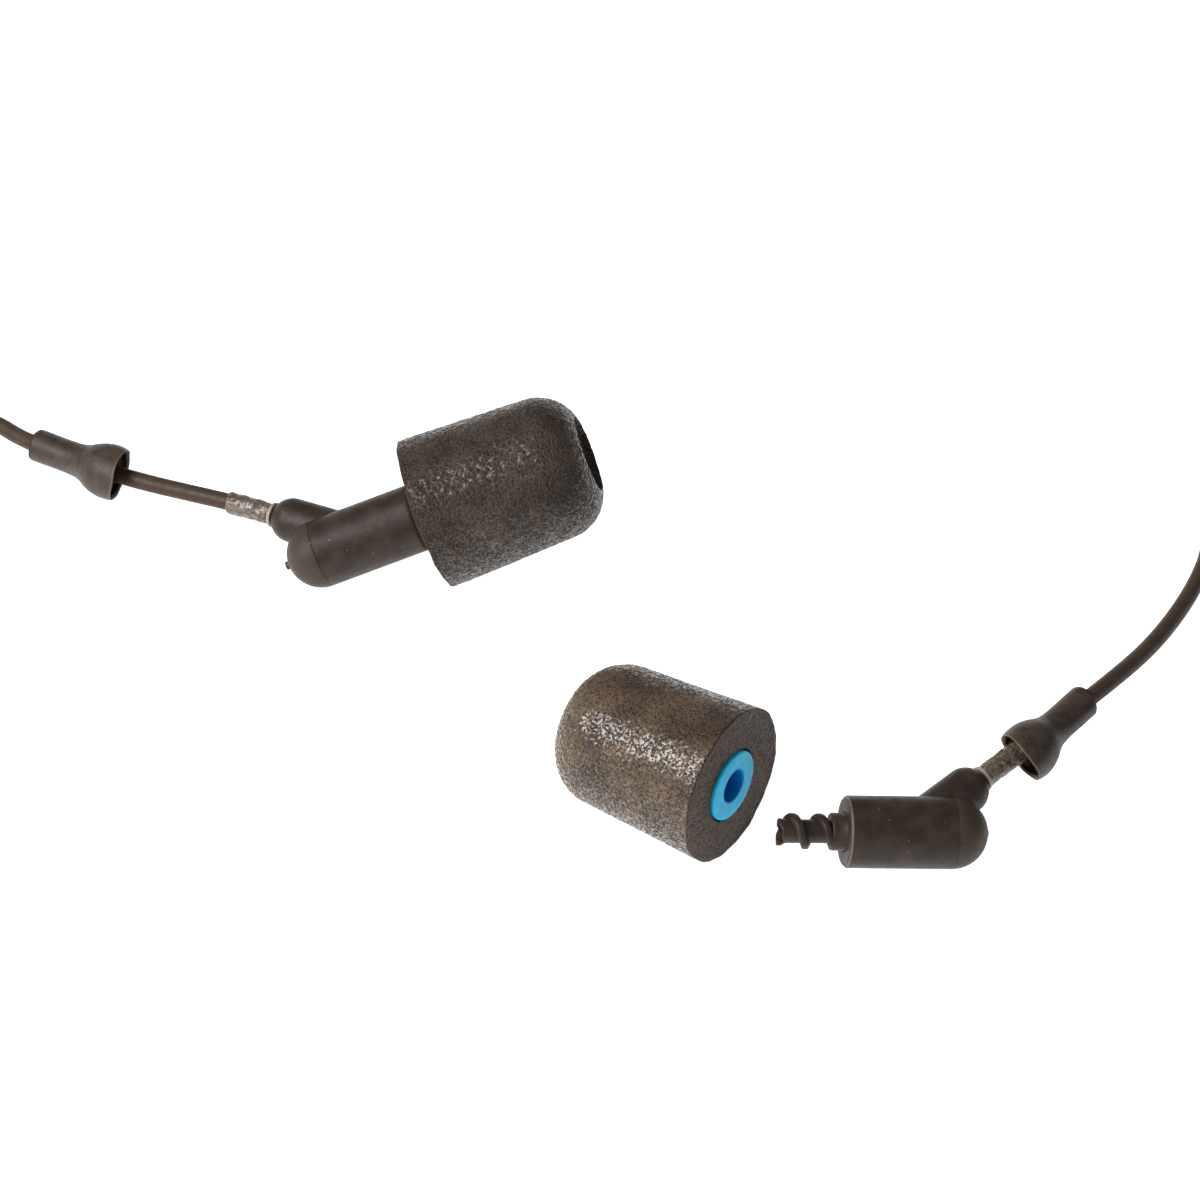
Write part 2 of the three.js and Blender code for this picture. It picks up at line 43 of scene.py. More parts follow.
# A pair of in-ear monitors: the left one assembled, the right one with its foam tip off.
# Turned shapes are written in millimetres in their own frame, and each frame brings them
# to metres. Routes of cords are in metres.
mm = 0.001
print("frame loaded:", len(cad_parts), "nodes")


# ---- camera ----

camera = {"target": (-0.00175, 0.01141, 0.0), "elevation": 43.5, "distance": 0.46, "lens": 159.6}


def makeCamera():
    tilt = math.radians(camera["elevation"])
    data = bpy.data.cameras.new("camera")
    data.lens = camera["lens"]
    data.clip_start = 0.02
    data.clip_end = 20
    item = bpy.data.objects.new("camera", data)
    back = Vector((0, -math.cos(tilt), math.sin(tilt)))
    item.location = Vector(camera["target"]) + back * camera["distance"]
    item.rotation_euler = (math.pi / 2 - tilt, 0, 0)
    bpy.context.collection.objects.link(item)
    bpy.context.scene.camera = item


# ---- where the earphones lie ----

housings = {
    "left": {"at": (-25.88, 14.14, 2.98), "heading": 8.5, "tilt": 19.9, "roll": 72},
    "right": {"at": (27.05, -19.44, 3.0), "heading": 186.5, "tilt": 7.5, "roll": -77},
}
looseTip = {"at": (9.02, -17.69, 6.76), "heading": 146.05, "tilt": -3.16, "roll": 0}
arm = {"angle": 38, "start": 3.55, "length": 6.6, "radius": 1.95, "bore": 0.98, "inner": 1.5}


def frameOf(place):
    # local +Z along the barrel to the ear, local +X to the side where the arm leaves
    heading, tilt, roll = (math.radians(place[k]) for k in ("heading", "tilt", "roll"))
    axis = Vector((math.cos(heading) * math.cos(tilt), math.sin(heading) * math.cos(tilt), math.sin(tilt)))
    level = Vector((0, 0, 1)).cross(axis).normalized()
    side = axis.cross(level) * math.cos(roll) + level * math.sin(roll)
    turn = Matrix((side, axis.cross(side), axis)).transposed().to_4x4()
    return Matrix.Translation(Vector(place["at"]) * mm) @ turn @ Matrix.Scale(mm, 4)


def spanFrame(start, end):
    turn = (Vector(end) - Vector(start)).to_track_quat("Z", "Y").to_matrix().to_4x4()
    return Matrix.Translation(Vector(start)) @ turn @ Matrix.Scale(mm, 4)


def armFrame(side):
    turn = Matrix.Rotation(math.radians(180 - arm["angle"]), 4, "Y")
    return frameOf(housings[side]) @ Matrix.Translation((0, 0, arm["start"])) @ turn


# ---- mesh helpers ----

def softened(points, steps=5, ring=True):
    # corners are (radius, height) or (radius, height, rounding)
    out = []
    last = len(points) - 1
    for i, point in enumerate(points):
        if len(point) == 2 or (not ring and i in (0, last)):
            out.append(tuple(point[:2]))
            continue
        corner = Vector(point[:2])
        before = Vector(points[i - 1][:2]) - corner
        after = Vector(points[(i + 1) % len(points)][:2]) - corner
        half = before.angle(after) / 2
        cut = min(point[2] / math.tan(half), 0.49 * before.length, 0.49 * after.length)
        start, end = corner + before.normalized() * cut, corner + after.normalized() * cut
        for k in range(steps + 1):
            t = k / steps
            out.append(tuple(start * (1 - t) ** 2 + corner * 2 * t * (1 - t) + end * t * t))
    return out


def finely(points, step, ring=True):
    # splits long stretches of an outline, so that its surface can be worked
    out = []
    for a, b in zip(points, points[1:] + points[:1] if ring else points[1:]):
        a, b = Vector(a), Vector(b)
        count = max(1, math.ceil((b - a).length / step))
        out += [tuple(a.lerp(b, k / count)) for k in range(count)]
    return out if ring else out + [points[-1]]


def arcOf(centre, height, radius, start, end, steps):
    angles = [math.radians(start + (end - start) * k / steps) for k in range(steps + 1)]
    return [(centre + radius * math.cos(a), height + radius * math.sin(a)) for a in angles]


def makeMesh(name, vertices, faces, place, attributes=None):
    mesh = bpy.data.meshes.new(name)
    mesh.from_pydata(vertices, [], faces)
    for key, values in (attributes or {}).items():
        mesh.attributes.new(key, "FLOAT", "POINT").data.foreach_set("value", values)
    mesh.transform(place)
    work = bmesh.new()
    work.from_mesh(mesh)
    bmesh.ops.recalc_face_normals(work, faces=work.faces)
    work.to_mesh(mesh)
    work.free()
    mesh.shade_smooth()
    item = bpy.data.objects.new(name, mesh)
    bpy.context.collection.objects.link(item)
    return item


def turned(name, outline, place, sides=96, move=None):
    # an outline of (radius, height) pairs turned about local +Z; a ring unless it ends on the axis
    onAxis = [i for i, (r, _) in enumerate(outline) if abs(r) < 1e-6]
    vertices, rows, along, out = [], [], [], []
    for i, (r, z) in enumerate(outline):
        row = []
        for k in range(1 if i in onAxis else sides):
            a = 2 * math.pi * k / sides
            point = Vector((r * math.cos(a), r * math.sin(a), z))
            row.append(len(vertices))
            vertices.append(move(point, r, z, a) if move else point)
            along.append(z)
            out.append(r)
        rows.append(row)
    faces = []
    pairs = list(zip(rows, rows[1:])) + ([] if onAxis else [(rows[-1], rows[0])])
    for first, second in pairs:
        for k in range(sides):
            n = (k + 1) % sides
            if len(first) == 1 and len(second) == 1:
                continue
            if len(first) == 1:
                faces.append((first[0], second[k], second[n]))
            elif len(second) == 1:
                faces.append((first[k], second[0], first[n]))
            else:
                faces.append((first[k], second[k], second[n], first[n]))
    return makeMesh(name, vertices, faces, place, {"along": along, "out": out})


def swept(name, rings, place):
    # rings of points joined one after another, closed with flat ends
    size = len(rings[0])
    faces = []
    for i in range(len(rings) - 1):
        for k in range(size):
            n = (k + 1) % size
            faces.append((i * size + k, i * size + n, (i + 1) * size + n, (i + 1) * size + k))
    faces.append(tuple(range(size)))
    faces.append(tuple((len(rings) - 1) * size + k for k in range(size)))
    return makeMesh(name, [p for ring in rings for p in ring], faces, place)


def dress(item, finish, body, nodes=()):
    item.data.materials.clear()
    item.data.materials.append(finish)
    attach(item, body)
    if nodes:
        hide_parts(*nodes)
    return item


# ---- finishes ----

def paint(red, green, blue):
    def linear(c):
        c /= 255
        return c / 12.92 if c <= 0.04045 else ((c + 0.055) / 1.055) ** 2.4
    return (linear(red), linear(green), linear(blue), 1)


class Wire:
    def __init__(self, finish, socket):
        self.finish, self.socket = finish, socket

    def maths(self, operation, first, second=0):
        return self.finish.node("ShaderNodeMath", {"operation": operation}, {0: first, 1: second})

    def __add__(self, other):
        return self.maths("ADD", self, other)

    def __sub__(self, other):
        return self.maths("SUBTRACT", self, other)

    def __rsub__(self, other):
        return self.maths("SUBTRACT", other, self)

    def __mul__(self, other):
        return self.maths("MULTIPLY", self, other)

    __radd__ = __add__
    __rmul__ = __mul__

    def band(self, low, high):
        settings = {"interpolation_type": "SMOOTHSTEP"}
        return self.finish.node("ShaderNodeMapRange", settings, {0: self, 1: low, 2: high, 3: 0, 4: 1})


class Finish:
    def __init__(self, name, fixed):
        self.material = bpy.data.materials.new(name)
        self.material.use_nodes = True
        self.tree = self.material.node_tree
        self.tree.nodes.clear()
        self.shader = self.tree.nodes.new("ShaderNodeBsdfPrincipled")
        output = self.tree.nodes.new("ShaderNodeOutputMaterial")
        self.tree.links.new(self.shader.outputs[0], output.inputs[0])
        for socket, value in fixed.items():
            self.shader.inputs[socket].default_value = value
        self.where = self.node("ShaderNodeTexCoord", {}, {}, "Object")

    def node(self, kind, settings, sockets, out=0):
        made = self.tree.nodes.new(kind)
        for key, value in settings.items():
            setattr(made, key, value)
        for key, value in sockets.items():
            if isinstance(value, Wire):
                self.tree.links.new(value.socket, made.inputs[key])
            else:
                made.inputs[key].default_value = value
        return Wire(self, made.outputs[out])

    def feed(self, socket, wire):
        self.tree.links.new(wire.socket, self.shader.inputs[socket])

    def mix(self, factor, first, second):
        return self.node("ShaderNodeMix", {"data_type": "RGBA"}, {0: factor, 6: first, 7: second}, 2)

    def grain(self, size, detail=3, roughness=0.5, stretch=None):
        where = self.where
        if stretch:
            where = self.node("ShaderNodeMapping", {}, {"Vector": where, "Scale": stretch})
        sockets = {"Vector": where, "Scale": 1 / (size * mm), "Detail": detail, "Roughness": roughness}
        return self.node("ShaderNodeTexNoise", {}, sockets)

    def cells(self, size, feature="F1"):
        sockets = {"Vector": self.where, "Scale": 1 / (size * mm)}
        return self.node("ShaderNodeTexVoronoi", {"feature": feature}, sockets)

    def local(self, key):
        return self.node("ShaderNodeAttribute", {"attribute_name": key}, {}, "Fac")

    def bump(self, height, strength, depth):
        sockets = {"Height": height, "Strength": strength, "Distance": depth * mm}
        self.feed("Normal", self.node("ShaderNodeBump", {}, sockets))


def plasticFinish():
    # barrels have a painted highlight, a thin pale line along the front chamfer; the domes at the back, at
    # negative heights, are duller
    f = Finish("satinPlastic", {"Specular IOR Level": 0.2})
    along = f.local("along")
    dome = 1 - along.band(-0.16, -0.02)
    # a thin pale line painted on the outer front chamfer as a highlight
    chamferHighlight = along.band(8.8, 8.9) * (1 - along.band(8.94, 9.02)) * f.local("out").band(2.7, 2.85)
    mottle = f.grain(1.6).band(0.35, 0.7)
    specks = 1 - f.cells(0.9).band(0.05, 0.11)
    dust = specks * f.grain(2.2, 2).band(0.5, 0.62)
    base = f.mix(mottle, paint(38, 29, 23), paint(52, 41, 34))
    duller = f.mix(dome * 0.45, base, paint(66, 56, 47))
    edged = f.mix(chamferHighlight * 0.5, duller, paint(112, 98, 84))
    f.feed("Base Color", f.mix(dust * 0.5, edged, paint(135, 122, 106)))
    f.feed("Roughness", f.grain(0.5).band(0.2, 0.8) * 0.14 + dome * 0.08 + 0.42)
    f.bump(f.grain(0.16, 4, 0.65) + dust * 0.8, 0.5, 0.014)
    return f.material


def rubberFinish():
    f = Finish("mattRubber", {"Specular IOR Level": 0.28})
    mottle = f.grain(1.1, 4).band(0.3, 0.72)
    dust = (1 - f.cells(0.6).band(0.05, 0.13)) * f.grain(1.7, 2).band(0.46, 0.6)
    base = f.mix(mottle, paint(42, 33, 27), paint(62, 51, 42))
    along = f.local("along")
    rim = (1 - along.band(0.04, 0.22)) * along.band(-0.4, -0.2)
    edged = f.mix(rim * 0.5, base, paint(110, 96, 82))
    f.feed("Base Color", f.mix(dust * 0.5, edged, paint(150, 137, 121)))
    f.feed("Roughness", f.grain(0.4).band(0.2, 0.8) * 0.16 + 0.42)
    f.bump(f.grain(0.12, 4, 0.7) + f.grain(0.6) * 0.7, 0.55, 0.02)
    return f.material


def foamFinish(name, dark, pale, gloss):
    # open cells, with the pores painted near black as shade and small glossy patches for walls that catch
    # the light; the cut back is duller
    f = Finish(name, {"Specular IOR Level": 0.2, "Coat Roughness": 0.27, "Coat IOR": 1.55})
    pores = f.cells(0.3).band(0.02, 0.6)
    finePores = f.cells(0.15).band(0.0, 0.6)
    patch = f.grain(3.2, 3).band(0.3, 0.72)
    walls = pores * 0.6 + finePores * 0.4
    skin = f.mix(patch, paint(*dark), paint(*pale))
    cut = 1 - f.local("along").band(9.9, 10.1)
    body = f.mix(cut * 0.8, skin, paint(59, 43, 29))
    # the wall of the bore is painted darker, as shade inside the hole
    ring = (1 - f.local("out").band(3.2, 3.35)) * 0.3
    shaded = f.mix(ring, body, paint(34, 27, 21))
    # pores are painted near black, as shade inside them
    f.feed("Base Color", f.mix(walls, paint(12, 9, 6), shaded))
    glints = f.grain(0.22, 2).band(0.46, 0.62) * (1 - cut * 0.85)
    f.feed("Coat Weight", glints * gloss)
    f.feed("Roughness", 0.6 - glints * 0.3)
    f.bump(pores + finePores * 0.7 + f.grain(0.12, 2) * 0.5, 1.0, 0.085)
    return f.material


def blueFinish():
    fixed = {"Specular IOR Level": 0.22, "Subsurface Weight": 0.12, "Subsurface Scale": 0.0006}
    f = Finish("blueSleeve", fixed)
    streaks = f.grain(0.7, 3).band(0.3, 0.7)
    tone = f.mix(streaks, paint(0, 152, 194), paint(10, 170, 210))
    # the bore is painted a darker blue, as shade inside the hole
    bore = 1 - f.local("out").band(1.5, 1.66)
    f.feed("Base Color", f.mix(bore, tone, paint(0, 112, 184)))
    f.feed("Roughness", f.grain(0.3).band(0.2, 0.8) * 0.15 + 0.4)
    f.bump(f.grain(0.2, 3), 0.35, 0.012)
    return f.material


def jacketFinish():
    # greyish on top as painted light from above and reddish underneath as painted shade, with pale specks
    f = Finish("cordJacket", {"Specular IOR Level": 0.2})
    normal = f.node("ShaderNodeTexCoord", {}, {}, "Normal")
    up = f.node("ShaderNodeSeparateXYZ", {}, {0: normal}, "Z")
    # which way each face points sets its painted light and shade
    topLight = up.band(-0.2, 0.85)
    base = f.mix(topLight, paint(56, 35, 23), paint(62, 50, 39))
    specks = (1 - f.cells(0.4).band(0.06, 0.16)) * f.grain(0.9, 2).band(0.45, 0.6)
    toned = f.mix(f.grain(1.4, 3).band(0.3, 0.7) * 0.35, base, paint(42, 31, 23))
    f.feed("Base Color", f.mix(specks * 0.5, toned, paint(150, 132, 112)))
    f.feed("Roughness", f.grain(0.5).band(0.2, 0.8) * 0.18 + 0.44)
    f.bump(f.grain(0.3, 3) + specks * 0.5, 0.4, 0.012)
    return f.material


def glueFinish():
    # the bead at the arm is a paler ring than the crinkled sleeve beyond it
    f = Finish("driedGlue", {"Specular IOR Level": 0.5, "Coat Roughness": 0.2})
    folds = f.grain(0.34, 5, 0.7)
    bead = 1 - f.local("along").band(8.74, 8.79)
    # paler on the raised folds and darker in the creases, partly as painted glints and shade
    tone = f.mix(folds.band(0.36, 0.66), paint(50, 39, 29), paint(108, 93, 77))
    f.feed("Base Color", f.mix(bead * 0.7, tone, paint(158, 146, 131)))
    f.feed("Coat Weight", folds.band(0.4, 0.6) * 0.5)
    f.feed("Roughness", f.grain(0.4).band(0.2, 0.8) * 0.3 + 0.28)
    f.bump(folds + f.grain(0.22, 3) * 0.4, 1.0, 0.13)
    return f.material


def metalFinish(name, tone, worn, roughness):
    f = Finish(name, {"Metallic": 1.0})
    f.feed("Base Color", f.mix(f.grain(0.9, 4).band(0.4, 0.75), paint(*tone), paint(*worn)))
    f.feed("Roughness", f.grain(0.25, 3, 0.5, (1, 1, 6)).band(0.2, 0.8) * 0.14 + roughness)
    f.bump(f.grain(0.2, 3, 0.5, (1, 1, 8)), 0.2, 0.006)
    return f.material


def smoothFinish(name, tone, dark, roughness, size=0.6):
    f = Finish(name, {"Specular IOR Level": 0.4})
    f.feed("Base Color", f.mix(f.grain(size, 3).band(0.3, 0.7), paint(*tone), paint(*dark)))
    f.feed("Roughness", f.grain(size / 2).band(0.2, 0.8) * 0.15 + roughness)
    f.bump(f.grain(size / 3, 3), 0.3, 0.01)
    return f.material


def wovenFinish():
    f = Finish("wovenStrap", {"Sheen Weight": 0.2})
    sockets = {"Vector": f.where, "Scale": 1 / (1.1 * mm), "Distortion": 0.4}
    weave = f.node("ShaderNodeTexWave", {"bands_direction": "DIAGONAL"}, sockets, "Fac")
    f.feed("Base Color", f.mix(weave, paint(20, 19, 18), paint(44, 41, 38)))
    f.feed("Roughness", weave * 0.1 + 0.7)
    f.bump(weave + f.grain(0.2) * 0.4, 0.6, 0.05)
    return f.material


finishes = {
    "housing_plastic": plasticFinish(),
    "boot_rubber": rubberFinish(),
    "core_blue": blueFinish(),
    "cord_jacket": jacketFinish(),
    "clear_glue": glueFinish(),
    "damper_mesh": smoothFinish("damperMesh", (88, 86, 84), (52, 50, 48), 0.6, 0.12),
    "driver_can": metalFinish("driverCan", (196, 196, 198), (150, 150, 152), 0.26),
    "board_laminate": smoothFinish("boardLaminate", (30, 92, 58), (20, 66, 42), 0.45),
    "wire_red": smoothFinish("redEnamel", (168, 34, 24), (130, 24, 18), 0.35, 0.3),
    "wire_blue": smoothFinish("blueEnamel", (26, 62, 150), (18, 44, 112), 0.35, 0.3),
    "contact_gold": metalFinish("contactGold", (222, 186, 108), (186, 148, 76), 0.16),
    "insulator_black": smoothFinish("bandPlastic", (26, 25, 24), (16, 15, 15), 0.35),
    "tie_strap": wovenFinish(),
}
foamFinishes = {
    # the left foam is the same foam painted darker, as shade
    "left": foamFinish("shadedFoam", (41, 31, 22), (63, 50, 39), 0.55),
    "right": foamFinish("openFoam", (58, 45, 32), (86, 69, 52), 0.9),
}
print("finishes made:", len(finishes) + len(foamFinishes))


# ---- cords ----

armCord = {"radius": 0.75 * mm, "along": (5.4, 8.55, 12.95)}
mainCord = {"radius": 0.9 * mm}
leftRoute = [
    (-0.03784, 0.02225, 0.0027), (-0.04088, 0.02355, 0.00245), (-0.04388, 0.025, 0.0022),
    (-0.04685, 0.02667, 0.00195), (-0.04978, 0.0285, 0.00172), (-0.05148, 0.02971, 0.00148),
    (-0.05355, 0.03145, 0.00108), (-0.0555, 0.03325, 0.00085), (-0.05735, 0.03435, 0.00075),
    (-0.05935, 0.03431, 0.00075), (-0.06095, 0.03291, 0.00075), (-0.06155, 0.03071, 0.00075),
    (-0.06155, 0.02541, 0.00075), (-0.06115, 0.00141, 0.00075), (-0.06015, -0.03359, 0.00075),
    (-0.05955, -0.04859, 0.00075), (-0.05855, -0.05419, 0.00075), (-0.05605, -0.05759, 0.00075),
    (-0.05225, -0.05899, 0.00075), (-0.04375, -0.05919, 0.00075), (-0.00175, -0.05909, 0.00075),
    (0.04225, -0.05909, 0.00075), (0.05225, -0.05899, 0.00075), (0.05765, -0.05829, 0.00075),
    (0.06145, -0.05599, 0.0013), (0.0631, -0.05359, 0.00195), (0.06345, -0.05099, 0.0022),
    (0.06345, -0.04809, 0.0022), (0.06345, -0.03859, 0.0022), (0.06345, -0.0334, 0.0022),
]
rightRoute = [
    (0.03566, -0.00855, 0.00412), (0.03739, -0.00642, 0.00368), (0.03877, -0.00469, 0.0034),
    (0.0417, -0.0008, 0.0025), (0.04455, 0.00325, 0.0016), (0.04705, 0.00735, 0.001),
    (0.0492, 0.01141, 0.0008), (0.05075, 0.01501, 0.001), (0.05165, 0.01841, 0.0012),
]
laneRoute = [
    (0.07005, 0.0197, 0.0048), (0.07185, 0.01641, 0.0034), (0.07315, 0.01201, 0.0017),
    (0.07395, 0.00691, 0.0008), (0.07425, 0.00141, 0.00075), (0.07425, -0.02259, 0.00075),
    (0.07425, -0.04659, 0.00075), (0.07365, -0.05179, 0.0008), (0.07165, -0.05459, 0.001),
    (0.0689, -0.05519, 0.0014), (0.06675, -0.05339, 0.00195), (0.06605, -0.05099, 0.0022),
    (0.06605, -0.04809, 0.0022), (0.06605, -0.03859, 0.0022), (0.06605, -0.0334, 0.0022),
]
mainRoute = [
    (0.06475, -0.0261, 0.0022), (0.06475, -0.02329, 0.0022), (0.06515, -0.02139, 0.0022),
    (0.06655, -0.01949, 0.0021), (0.06865, -0.01809, 0.0019),
]
plugRoute = [
    (0.04925, -0.01319, 0.0019), (0.04945, -0.01619, 0.0021), (0.05065, -0.01979, 0.0026),
    (0.05215, -0.02279, 0.00295), (0.05275, -0.02549, 0.003), (0.05275, -0.0312, 0.003),
]
armCoil = {"at": (0.06125, 0.02341), "radius": 0.008, "turns": 2.5, "low": 0.0013, "pitch": 0.00153}
mainCoil = {
    "at": (0.0611, -0.00759), "radii": (0.01085, 0.009, 0.00715), "low": 0.0017, "pitch": 0.00185,
    "outside": 0.0127,
}
perTurn = 24


def smooth(t):
    t = min(1.0, max(0.0, t))
    return t * t * (3 - 2 * t)


def coilPoint(coil, angle, radius, height):
    x, y = coil["at"]
    return Vector((x + radius * math.cos(angle), y + radius * math.sin(angle), height))


def armTurns():
    # clockwise from the left side up to the right side, one turn on another
    steps = int(armCoil["turns"] * perTurn)
    points = []
    for i in range(steps + 1):
        turn = i / perTurn
        height = armCoil["low"] + armCoil["pitch"] * turn
        points.append(coilPoint(armCoil, math.pi - 2 * math.pi * turn, armCoil["radius"], height))
    return points


def mainTurns():
    # layers wound inwards and outwards by turns; the end comes down the outside of the bundle
    # and tucks in under it, in the place that the lowest layer leaves free
    outer, middle, inner = mainCoil["radii"]
    layers = [(middle, inner), (inner, middle, outer), (outer, middle, inner),
              (inner, middle, outer), (middle, outer)]
    slots = [(r, mainCoil["low"] + k * mainCoil["pitch"]) for k, row in enumerate(layers) for r in row]
    points = []
    whole = len(slots)
    for i in range(whole * perTurn):
        turn, part = divmod(i / perTurn, 1)
        r, z = slots[int(turn)]
        nextR, nextZ = slots[min(int(turn) + 1, whole - 1)]
        step = smooth((part - 0.8) / 0.2)
        height = z + (nextZ - z) * step
        points.append(coilPoint(mainCoil, 2 * math.pi * part, r + (nextR - r) * step, height))
    r, z = slots[whole - 1]
    for i in range(perTurn // 2 + 1):
        t = i / (perTurn / 2)
        radius = r + (mainCoil["outside"] - r) * (smooth(t / 0.2) - smooth((t - 0.62) / 0.3))
        height = z + (mainCoil["low"] - z) * smooth((t - 0.03) / 0.6)
        points.append(coilPoint(mainCoil, math.pi * t, radius, height))
    return points


def through(points, steps):
    # a smooth line through the points, eased by the root of each stretch so that it never loops
    points = [Vector(p) for p in points]
    ends = [points[0] * 2 - points[1]] + points + [points[-1] * 2 - points[-2]]
    line = []
    for i in range(1, len(ends) - 2):
        p0, p1, p2, p3 = ends[i - 1:i + 3]
        gaps = [max((b - a).length ** 0.5, 1e-5) for a, b in ((p0, p1), (p1, p2), (p2, p3))]
        start = ((p1 - p0) / gaps[0] - (p2 - p0) / (gaps[0] + gaps[1]) + (p2 - p1) / gaps[1]) * gaps[1]
        end = ((p2 - p1) / gaps[1] - (p3 - p1) / (gaps[1] + gaps[2]) + (p3 - p2) / gaps[2]) * gaps[1]
        for k in range(steps):
            t = k / steps
            a = 2 * p1 - 2 * p2 + start + end
            b = -3 * p1 + 3 * p2 - 2 * start - end
            line.append(((a * t + b) * t + start) * t + p1)
    return line + [points[-1]]


def makeCord(name, line, radius):
    curve = bpy.data.curves.new(name, "CURVE")
    curve.dimensions = "3D"
    curve.bevel_depth = radius
    curve.bevel_resolution = 5
    curve.use_fill_caps = True
    spline = curve.splines.new("POLY")
    spline.points.add(len(line) - 1)
    for point, at in zip(spline.points, line):
        point.co = (*at, 1)
    spline.use_smooth = True
    item = bpy.data.objects.new(name, curve)
    bpy.context.collection.objects.link(item)
    return item


def lengthOf(line):
    return sum((b - a).length for a, b in zip(line, line[1:]))


def cordStart(side):
    place = armFrame(side)
    return [place @ Vector((0, 0, distance)) for distance in armCord["along"]]


def makeCords():
    leftLine = through(cordStart("left") + leftRoute, 8)
    rightStart = through(cordStart("right") + rightRoute, 8)
    rightEnd = through(laneRoute, 8)
    rightLine = through(rightStart[::4] + armTurns() + rightEnd[::4], 3)
    mainLine = through(mainRoute + mainTurns() + plugRoute, 3)
    lines = {"left": leftLine, "right": rightLine, "main": mainLine}
    cords = {}
    for key, radius, nodes in (
        ("left", armCord["radius"], ["left_arm_cord"]),
        ("right", armCord["radius"], ["right_arm_cord", "right_arm_coil", "right_arm_lane"]),
        ("main", mainCord["radius"], ["main_cord_start", "main_cord_coil", "main_cord_end"]),
    ):
        cord = makeCord(key + "Cord", lines[key], radius)
        cords[key] = dress(cord, finishes["cord_jacket"], "root", nodes)
        print(key, "cord", round(lengthOf(lines[key]), 3), "m")
    return cords, lines


makeCamera()
cords, cordLines = makeCords()


# ---- housings ----

barrel = {"radius": 2.975, "wall": 0.575, "front": 9.05, "chamfer": 0.22, "frontWall": 0.7, "hole": 1.65}
dome = {"wall": 0.65, "vent": 0.46, "spigot": 2.2, "spigotLength": 0.9}
pip = {"radius": 0.38, "proud": {"left": 0.28, "right": 0.06}, "bevel": 0.1, "root": 2.1}
nozzle = {
    "flange": 2.1, "collar": 1.55, "collarLength": 1.2, "stem": 0.97, "length": 5.5, "bore": 0.62,
    "pitch": 2.25, "turns": 2.1, "startAngle": 139, "crest": 1.47, "inset": 0.08,
}
torn = {"reach": 0.9, "slant": 0.45, "ragged": 0.16, "raggedSize": 0.5, "flare": 0.06, "flareSize": 0.6}


def makeHousing(side):
    place = frameOf(housings[side])
    plastic = finishes["housing_plastic"]
    b = barrel
    inner = b["radius"] - b["wall"]
    shell = softened([
        (b["radius"], 0.0, 0.02), (b["radius"], b["front"] - b["chamfer"], 0.04),
        (b["radius"] - b["chamfer"], b["front"], 0.04), (b["hole"], b["front"], 0.06),
        (b["hole"], b["front"] - b["frontWall"]), (inner, b["front"] - b["frontWall"]), (inner, 0.0),
    ])
    tube = turned(side + "BarrelShell", finely(shell, 0.7), place)
    dress(tube, plastic, "root", [side + "_barrel"])

    d = dome
    hollow = b["radius"] - d["wall"]
    rise = math.degrees(math.acos(d["vent"] / b["radius"]))
    innerRise = math.degrees(math.acos(d["vent"] / hollow))
    outline = arcOf(0, 0, b["radius"] - 0.005, -rise, -0.4, 28)
    outline += [(b["radius"] - 0.02, -0.004), (d["spigot"], -0.004), (d["spigot"], d["spigotLength"])]
    outline += [(hollow - 0.42, d["spigotLength"]), (hollow - 0.42, -0.5)]
    outline += arcOf(0, 0, hollow, -40, -innerRise, 10)
    rear = turned(side + "RearDome", outline, place)
    dress(rear, plastic, "root", [side + "_rear_cap"])

    tipEnd = -b["radius"] - pip["proud"][side]
    nub = softened([
        (0, tipEnd), (pip["radius"] * 0.9, tipEnd, 0.08), (pip["radius"], tipEnd + pip["bevel"]),
        (pip["radius"], -pip["root"]), (0, -pip["root"]),
    ], ring=False)
    vent = turned(side + "VentNub", nub, place, 32)
    dress(vent, finishes["boot_rubber"], "root", [side + "_vent_pip"])

    a = arm
    outline = [(a["radius"], a["inner"]), (a["radius"], a["length"])]
    mouth = math.degrees(math.acos((a["bore"] + 0.08) / a["radius"]))
    outline += arcOf(0, a["length"], a["radius"], 0, mouth, 22)[1:]
    outline += [(a["bore"] + 0.02, a["length"] + 1.6), (a["bore"], a["length"] + 1.4)]
    outline += [(a["bore"], a["inner"])]
    branch = turned(side + "CordArm", finely(outline, 0.6), armFrame(side), 72)
    dress(branch, plastic, "root", [side + "_cord_arm"])


def nozzleSurface(point, r, z, angle):
    # the end of the nozzle is torn off at a slant and a little flared
    n = nozzle
    end = smooth((z - barrel["front"] - n["length"] + torn["reach"]) / torn["reach"])
    if end == 0:
        return point
    tear = torn["slant"] * (0.5 + 0.5 * math.cos(angle - math.radians(n["startAngle"])))
    tear += torn["ragged"] * noise.noise(Vector((point.x, point.y, 3)) / torn["raggedSize"])
    uneven = noise.noise(Vector((point.x, point.y, 8)) / torn["flareSize"])
    grow = 1 + torn["flare"] * end * (1 + uneven)
    return Vector((point.x * grow, point.y * grow, z - end * max(tear, 0)))


